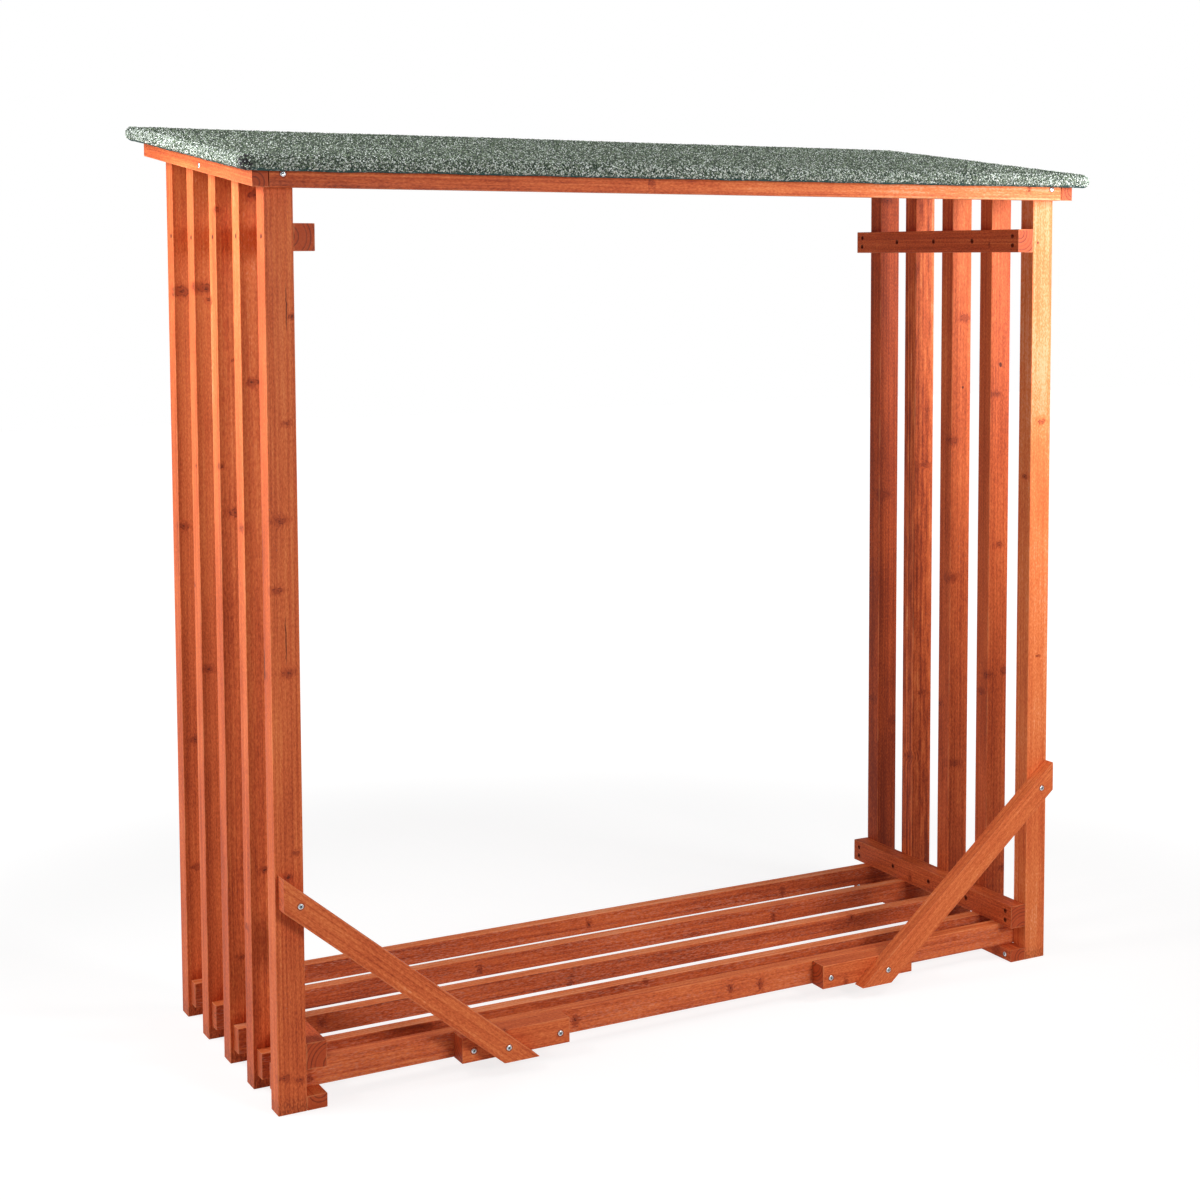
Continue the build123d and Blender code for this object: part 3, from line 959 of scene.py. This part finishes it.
# Where the screws go: across and height in millimetres, the face that they lie on, and the way they look.
brace_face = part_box("left_brace")[0].y
block_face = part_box("left_brace_block")[0].y
beam_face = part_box("front_beam")[0].y
rear_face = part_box("rear_beam")[1].y
forward = Vector((0, -1, 0))
backward = Vector((0, 1, 0))
timber_screws = [
    (819, brace_face, 381, forward), (425, brace_face, 52, forward), (482, block_face, 47, forward),
    (305, block_face, 47, forward), (829, beam_face, 1652, forward), (820, rear_face, 1722, backward)]
rafter_screw = (883, -32, 1676)
foot_screw_height = 13
pocket_floor = 6.4
screw_places = []
pocket_places = []
for side in (-1, 1):
    inward = Vector((-side, 0, 0))
    screw_places += [(Vector((side * x * mm, y, z * mm)), way) for x, y, z, way in timber_screws]
    x, y, z = rafter_screw
    screw_places.append((Vector((side * x, y, z)) * mm, Vector((side, 0, 0))))
    screw_places += [(Vector((side * rail_inner, y, foot_screw_height)) * mm, inward) for y in end_screws]
    bottom = side * (rail_inner + pocket_floor)
    for middle in (lower_rail_middle, upper_rail_middle):
        pocket_places += [(Vector((bottom, y, middle)) * mm, inward) for y in middle_screws]
        pocket_places += [(Vector((bottom, y, middle + rise)) * mm, inward)
                          for y in end_screws for rise in end_screw_rises]
screw_seed = 5
screw_turn = random.Random(screw_seed)


def drive_screws(name, places, size):
    """Copies of the one screw head, set in place and joined."""
    bpy.ops.object.select_all(action="DESELECT")
    for place, way in places:
        copy = screw.copy()
        copy.data = screw.data.copy()
        copy.name = name
        bpy.context.scene.collection.objects.link(copy)
        lay = way.to_track_quat("Z", "Y").to_matrix().to_4x4()
        spin = Matrix.Rotation(screw_turn.uniform(0, math.tau), 4, "Z")
        copy.data.transform(Matrix.Translation(place) @ lay @ spin @ Matrix.Scale(size, 4))
        copy.select_set(True)
        bpy.context.view_layer.objects.active = copy
    bpy.ops.object.join()
    heads = bpy.context.object
    heads.name = name
    bpy.ops.object.shade_smooth_by_angle(angle=head_smooth_angle)
    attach(heads, "root")


full_size = 1.0
pocket_size = 0.78
drive_screws("face_screws", screw_places, full_size)
drive_screws("pocket_screws", pocket_places, pocket_size)
bpy.data.objects.remove(screw)


# Studio: a pale floor that goes over to plain white away from the store, a
# white surround, two soft lights on the left, one close on the right, one from
# the front and a weak one over the roof.
floor_size = 30
floor_drop = 0.5 * mm
paper_shade = (0.75, 0.75, 0.75, 1)
shaded_paper_shade = (0.3, 0.3, 0.3, 1)
plain_white = (1, 1, 1, 1)
floor_glow = (1.3, 2.6, 0.8, 1.0)
glossy_share = 0.3
surround_light = 0.22
bpy.ops.object.select_all(action="DESELECT")
bpy.ops.mesh.primitive_plane_add(size=floor_size, location=(0, 0, -floor_drop))
floor = bpy.context.object
floor.name = "studio_floor"
finish = bpy.data.materials.new("pale_floor")
finish.use_nodes = True
tree = finish.node_tree
tree.nodes.clear()
paper = add_step(tree, "BsdfDiffuse", {"Color": paper_shade})
shaded_paper = add_step(tree, "BsdfDiffuse", {"Color": shaded_paper_shade})
away = reckon_points(tree, "LENGTH", add_step(tree, "TexCoord").outputs["Object"])
glow = add_step(tree, "Emission", {"Color": plain_white, "Strength": fade(tree, away, *floor_glow)})
rays = add_step(tree, "LightPath").outputs
reflected = reckon(tree, "MAXIMUM", rays["Is Glossy Ray"], rays["Is Transmission Ray"])
seen = reckon(tree, "MAXIMUM", rays["Is Camera Ray"], reflected)
lit_paper = add_step(tree, "AddShader", {0: shaded_paper.outputs[0], 1: glow.outputs[0]})
mixed = add_step(tree, "MixShader", {0: seen, 1: paper.outputs[0], 2: lit_paper.outputs[0]})
add_step(tree, "OutputMaterial", {"Surface": mixed.outputs[0]})
floor.data.materials.append(finish)

world = bpy.data.worlds.new("white_surround")
bpy.context.scene.world = world
world.use_nodes = True
tree = world.node_tree
tree.nodes.clear()
rays = add_step(tree, "LightPath").outputs
reflected = reckon(tree, "MULTIPLY_ADD", rays["Is Glossy Ray"], glossy_share, rays["Is Transmission Ray"])
seen = reckon(tree, "MAXIMUM", rays["Is Camera Ray"], reflected)
strength = fade(tree, seen, 0.0, 1.0, surround_light, 1.0)
white = add_step(tree, "Background", {"Color": plain_white, "Strength": strength})
add_step(tree, "OutputWorld", {"Surface": white.outputs[0]})


def soft_light(name, place, aim, wide, tall, power, spread=math.pi):
    """A soft box at a place, turned to a point."""
    lamp = bpy.data.lights.new(name, "AREA")
    lamp.shape = "RECTANGLE"
    lamp.size = wide
    lamp.size_y = tall
    lamp.energy = power
    lamp.spread = spread
    box = bpy.data.objects.new(name, lamp)
    box.location = place
    box.rotation_euler = (Vector(aim) - Vector(place)).to_track_quat("-Z", "Y").to_euler()
    box.visible_camera = False
    bpy.context.scene.collection.objects.link(box)


soft_light("left_box", place=(-2.2, 0.22, 0.75), aim=(-0.86, -0.2, 0.48), wide=1.1, tall=2.0, power=20)
soft_light("left_top_box", place=(-1.75, -0.06, 2.0), aim=(-0.86, -0.25, 1.5), wide=0.7, tall=0.5, power=8,
           spread=math.radians(110))
soft_light("right_box", place=(1.35, -0.95, 1.62), aim=(0.85, -0.05, 1.42), wide=0.5, tall=0.8, power=11,
           spread=math.radians(135))
soft_light("front_box", place=(0.9, -4.2, 1.9), aim=(-0.4, 0.0, 0.8), wide=1.0, tall=1.0, power=78)
soft_light("overhead_box", place=(0.1, -0.2, 3.6), aim=(0.0, 0.0, 1.7), wide=1.5, tall=1.5, power=11)


# Camera: at eye height, in front of the store and to the left of its middle,
# tilted down a little, with the photograph's own framing.
camera_tilt = math.radians(90 - 4.422)
camera_turn = math.radians(-30.048)
camera_data = bpy.data.cameras.new("camera")
camera_data.sensor_width = 36.0
camera_data.lens = 62.85
camera_data.shift_x = -0.1
camera_data.shift_y = -0.15
camera = bpy.data.objects.new("camera", camera_data)
camera.location = (-1.9777, -3.8086, 1.5091)
camera.rotation_euler = (camera_tilt, 0, camera_turn)
bpy.context.scene.collection.objects.link(camera)
bpy.context.scene.camera = camera
bpy.context.scene.view_settings.view_transform = "Standard"
